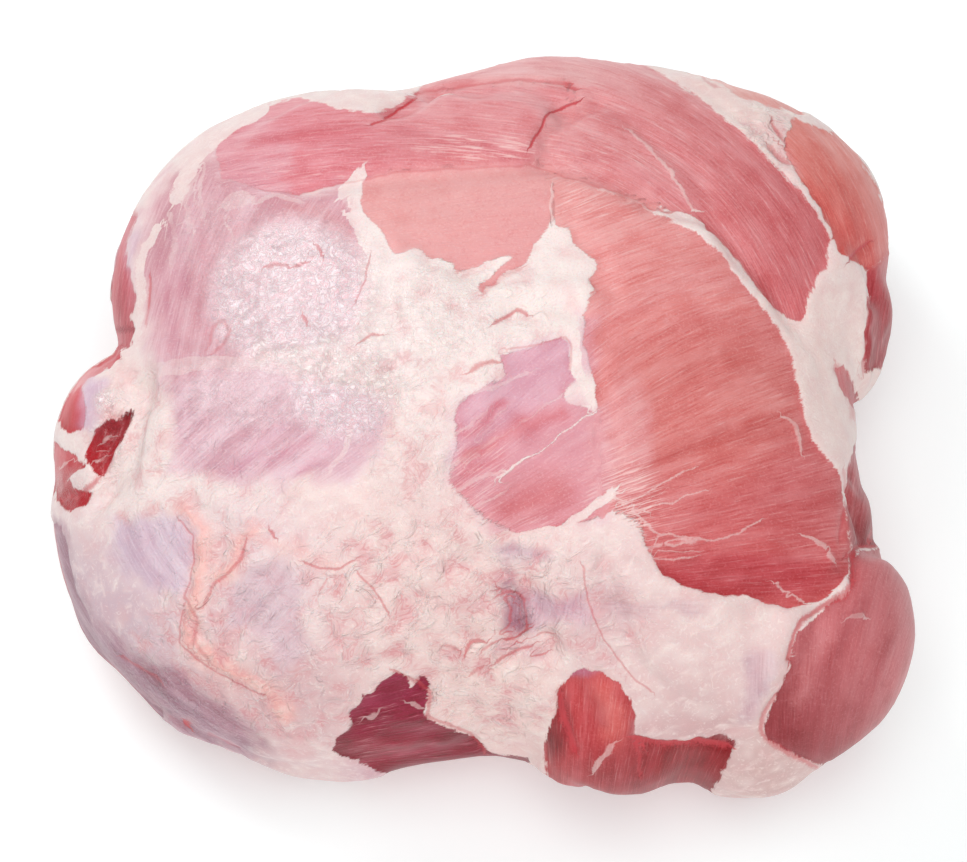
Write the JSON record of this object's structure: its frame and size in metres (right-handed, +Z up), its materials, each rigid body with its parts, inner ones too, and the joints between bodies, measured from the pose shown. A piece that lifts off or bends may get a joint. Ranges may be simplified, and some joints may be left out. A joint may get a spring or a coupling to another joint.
{
  "type": "boneless ham",
  "caption": "Raw boned and skinless leg of pork: a low rounded block of fused muscles with seams, a fat covering and a flat underside.",
  "frame": {"origin": "centre of the underside's bounding box, on the floor the ham lies on", "axes": "+X to the ham's right as pictured, +Y to its back, +Z up through its fat side"},
  "size_m": [0.3146, 0.2912, 0.1309],
  "materials": {
    "raw pork": "moist raw pork, pink muscle under pale fat and thin silvery membrane"
  },
  "bodies": {
    "root": {"ham": "raw pork"}
  },
  "joints": []
}
